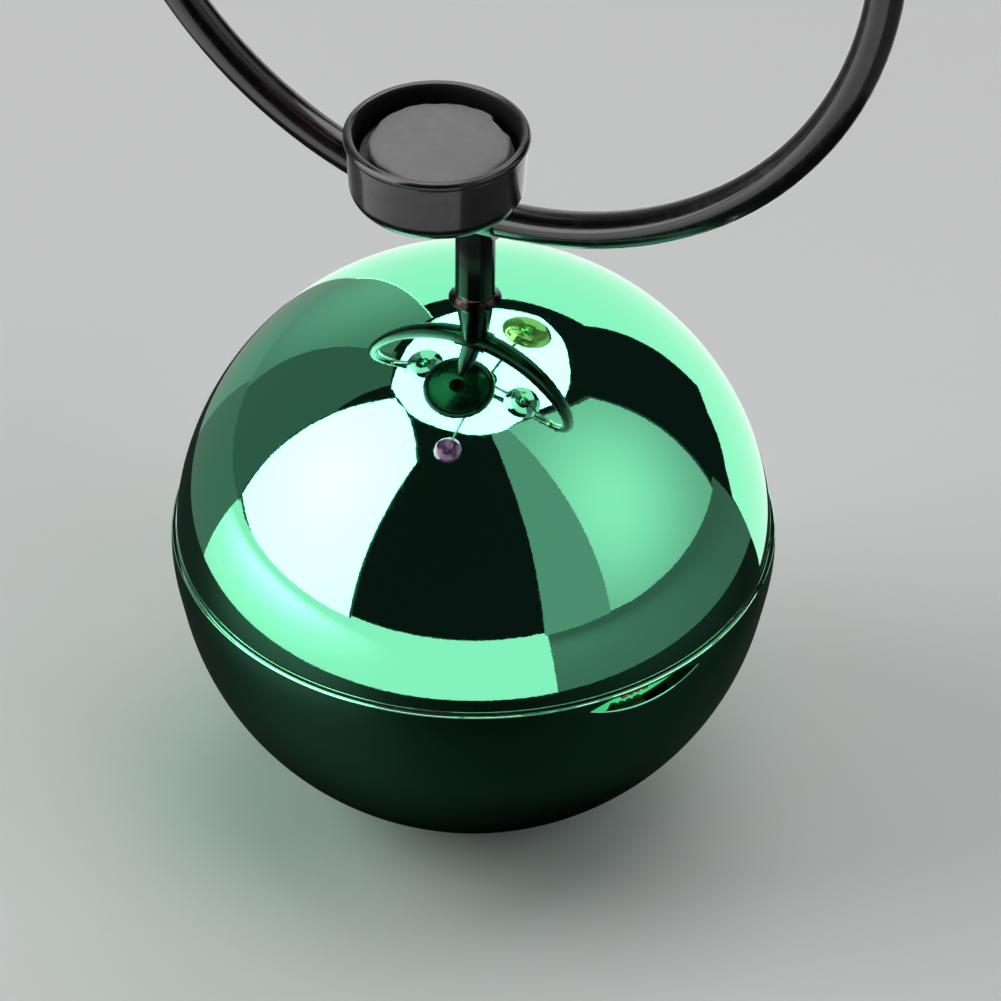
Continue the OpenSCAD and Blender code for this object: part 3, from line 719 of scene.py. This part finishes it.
card("back_wall_edge", (133, 133.35), (0,), (47,), FAR * 0.98, emitter("back_wall_edge", WHITE, 1.8))
card("left_wall", (133, 160), (-3,), (47, 53), FAR,
     emitter("left_wall", WHITE, 0.42, (on_dome(133, 20, FAR), 1.1, 0.5)))
card("left_dark", (158, 193), (-3,), (54, 58, 60, 40), FAR * 1.1, emitter("left_dark", WHITE, 0.115))
back_edge = (68, 59.5, 55.5, 51.5, 46, 42, 44, 46, 48.5, 53.5, 57, 59.5, 61)
card("overhead_back", (29, 185), back_edge, (90,), FAR * 1.05, emitter("overhead_back", WHITE, 3.5))
front_edge = (61.5, 66, 70, 73.5, 75.5, 77, 77, 77, 76.5, 75.5, 74.5, 72.5, 68)
card("overhead_front", (-175, 29), front_edge, (90,), FAR * 1.05, emitter("overhead_front", WHITE, 3.5))

world = bpy.data.worlds.new("studio")
bpy.context.scene.world = world
world.use_nodes = True
world.node_tree.nodes["Background"].inputs["Color"].default_value = (0.009, 0.009, 0.010, 1)
world.node_tree.nodes["Background"].inputs["Strength"].default_value = 1.0


def area_light(name, place, power, size):
    """Soft lamp that looks at the ball and doesn't show in it."""
    data = bpy.data.lights.new(name, "AREA")
    data.energy, data.size = power, size
    ob = bpy.data.objects.new(name, data)
    ob.location = place
    ob.rotation_euler = (BALL - ob.location).to_track_quat("-Z", "Y").to_euler()
    ob.visible_glossy = False
    bpy.context.collection.objects.link(ob)


area_light("top_light", (0.1, 0.35, 1.35), 9.0, 1.3)
area_light("left_light", (-0.85, -0.45, 0.75), 6.0, 0.8)
area_light("right_light", (0.9, -0.1, 0.8), 3.0, 0.8)


def disc_piece(name, r, z, mat, seg=96):
    """Flat disc of the room, round the origin."""
    bm = bmesh.new()
    turns = [2 * math.pi * i / seg for i in range(seg)]
    bm.faces.new([bm.verts.new((r * math.cos(a), r * math.sin(a), z)) for a in turns])
    return room_piece(name, bm, mat)


# ---- Room: a plain pale floor, a backdrop, and the table that only the mirrors show ----
FLOOR_R, BACKDROP_R = 6.0, 7.0
FLOOR_Z, BACK_Z, TABLE_Z = -0.00002, -0.00006, -0.0001
pale = Mat("pale_floor").set(Roughness=0.8, Specular_IOR_Level=0.2)
pale.color(pale.ramp(pale.noise(3, 2), [(0.3, (0.74, 0.74, 0.745)), (0.7, (0.77, 0.77, 0.77))]))
# The floor glows a little far from the toy, where the lamps no longer reach
FAR_GREY, GLOW_FROM, GLOW_FULL = 0.58, 0.4, 1.8
reach = pale.n("VectorMath", operation="LENGTH")
pale.l(pale.co, reach.inputs[0])
glow = pale.n("MapRange", From_Min=GLOW_FROM, From_Max=GLOW_FULL, To_Max=FAR_GREY,
              interpolation_type="SMOOTHSTEP")
pale.l(reach.outputs["Value"], glow.inputs["Value"])
pale.set(Emission_Color=(1, 1, 1, 1))
pale.l(glow.outputs["Result"], pale.b.inputs["Emission Strength"])
disc_piece("floor", FLOOR_R, FLOOR_Z, pale.m).visible_glossy = False

# Pale backdrop dome, which only the camera sees
dome = bmesh.new()
bmesh.ops.create_uvsphere(dome, u_segments=48, v_segments=24, radius=BACKDROP_R)
backdrop = room_piece("backdrop", dome, emitter("backdrop", WHITE, FAR_GREY))
backdrop.visible_diffuse = backdrop.visible_glossy = backdrop.visible_shadow = False
backdrop.visible_transmission = backdrop.visible_volume_scatter = False

# What the plating mirrors below its equator: a dark table top round the ball, bright paper beyond it
TABLE, PAPER_END = 0.132, 3
dark = Mat("dark_table").set(Roughness=0.6, Specular_IOR_Level=0.2)
dark.color(dark.ramp(dark.noise(900, 3), [(0.3, (0.0015, 0.0015, 0.002)), (0.7, (0.004, 0.004, 0.0045))]))
only_in_mirrors(disc_piece("mirror_table", TABLE, TABLE_Z, dark.m))
paper = emitter("paper_front", WHITE, 2.3, (Vector((-0.335, -0.286, 0)), 0.36, 0.44))
sector("paper_front", ((TABLE, -168), (PAPER_END, -168)), -37, TABLE_Z, paper)
paper = emitter("paper_right", WHITE, 0.215, (Vector((0.28, -0.21, 0)), 0.5, 0.55))
sector("paper_right", ((TABLE, -37), (PAPER_END, -37)), 49.5, TABLE_Z, paper)
paper = emitter("paper_back", WHITE, 1.08)
curved = ((0.09, 51), (0.13, 49.5), (0.177, 49.5), (0.29, 50), (0.466, 55), (0.78, 62), (PAPER_END, 68))
sector("paper_back", curved, 133, BACK_Z, paper)
paper = emitter("paper_left", WHITE, 0.30)
sector("paper_left", ((TABLE, 133), (PAPER_END, 133)), 158, TABLE_Z, paper)
paper = emitter("paper_far_left", WHITE, 0.17)
sector("paper_far_left", ((TABLE, 158), (PAPER_END, 158)), 192, TABLE_Z, paper)

# ---- Camera at the photograph's viewing angle ----
cam = bpy.data.cameras.new("camera")
cam.sensor_width = 36.0
cam.lens = 178.85
cam_ob = bpy.data.objects.new("camera", cam)
bpy.context.collection.objects.link(cam_ob)
right = Vector((0.89295, 0.45008, 0.00839)).normalized()
forward = Vector((-0.34619, 0.69849, -0.62631)).normalized()
up = right.cross(forward).normalized()
aim = Matrix((right, up, -forward)).transposed().to_4x4()
aim.translation = Vector((0.23327, -0.46262, 0.46300))
cam_ob.matrix_world = aim
bpy.context.scene.camera = cam_ob
bpy.context.scene.view_settings.view_transform = "Standard"
